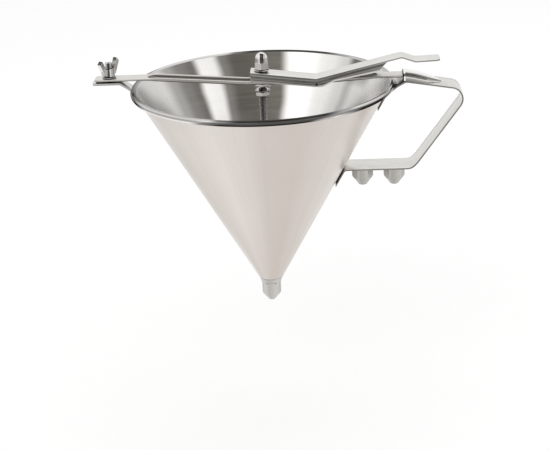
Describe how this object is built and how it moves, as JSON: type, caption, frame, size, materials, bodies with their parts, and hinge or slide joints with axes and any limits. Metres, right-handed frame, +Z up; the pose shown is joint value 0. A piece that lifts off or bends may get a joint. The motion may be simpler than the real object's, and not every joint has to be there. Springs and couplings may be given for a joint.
{
  "type": "dispensing funnel",
  "caption": "Hand-held steel cone funnel with a lever-worked outlet valve, a removable bridge, a strip handle and spare nozzles.",
  "frame": {"origin": "centre of the rim's top plane, on the funnel's axis", "axes": "+Z up along the funnel's axis, +X from the axis to the handle, +Y away from the side that the picture shows"},
  "size_m": [0.2791, 0.2, 0.2014],
  "materials": {
    "hopper": "satin sheet, polished inside",
    "outlet": "turned",
    "nozzle": "turned",
    "nozzle_gasket": "silicone",
    "handle": "polished strip",
    "hood": "polished sheet",
    "spare_stud_inner": "turned",
    "spare_stud_outer": "turned",
    "spare_nozzle_inner": "turned",
    "spare_nozzle_outer": "turned",
    "lug": "polished sheet",
    "bar": "brushed",
    "stud": "polished",
    "wing_washer": "polished",
    "wing_nut": "polished",
    "lever": "brushed",
    "lever_pin": "polished",
    "guide_bush": "turned",
    "guide_nut": "polished",
    "rod": "turned",
    "rod_washer": "polished",
    "cap_nut": "polished",
    "stop_washer": "polished",
    "stop_nut": "polished",
    "plug": "turned",
    "plug_ring": "soft seal"
  },
  "bodies": {
    "funnel": {"hopper": "hopper", "outlet": "outlet", "handle": "handle", "hood": "hood", "spare_stud_inner": "spare_stud_inner", "spare_stud_outer": "spare_stud_outer", "lug": "lug", "bar": "bar", "stud": "stud", "wing_washer": "wing_washer", "guide_bush": "guide_bush", "guide_nut": "guide_nut"},
    "lever": {"lever": "lever", "lever_pin": "lever_pin"},
    "plunger": {"rod": "rod", "rod_washer": "rod_washer", "cap_nut": "cap_nut", "stop_washer": "stop_washer", "stop_nut": "stop_nut", "plug": "plug", "plug_ring": "plug_ring"},
    "wing_nut": {"wing_nut": "wing_nut"},
    "nozzle": {"nozzle": "nozzle", "nozzle_gasket": "nozzle_gasket"},
    "spare_nozzle_inner": {"spare_nozzle_inner": "spare_nozzle_inner"},
    "spare_nozzle_outer": {"spare_nozzle_outer": "spare_nozzle_outer"}
  },
  "joints": [
    {"name": "lever_press", "type": "hinge", "parent": "funnel", "child": "lever", "pos_m": [0.041, 0, -0.0007], "axis": [0, 1, 0], "range_deg": [0, 3.15]},
    {"name": "plunger_lift", "type": "slide", "parent": "funnel", "child": "plunger", "axis": [0, 0, 1], "range_m": [0, 0.0026]},
    {"name": "wing_nut_turn", "type": "hinge", "parent": "funnel", "child": "wing_nut", "pos_m": [-0.1158, 0, 0.0089], "axis": [0, 0, 1], "continuous": true},
    {"name": "nozzle_turn", "type": "hinge", "parent": "funnel", "child": "nozzle", "pos_m": [0, 0, -0.165], "axis": [0, 0, 1], "continuous": true},
    {"name": "spare_inner_turn", "type": "hinge", "parent": "funnel", "child": "spare_nozzle_inner", "pos_m": [0.07401, 0, -0.069], "axis": [0, 0, 1], "continuous": true},
    {"name": "spare_outer_turn", "type": "hinge", "parent": "funnel", "child": "spare_nozzle_outer", "pos_m": [0.09821, 0, -0.069], "axis": [0, 0, 1], "continuous": true}
  ],
  "couplings": [
    {"joint": "plunger_lift", "follows": "lever_press", "m_per_rad": 0.0468}
  ]
}
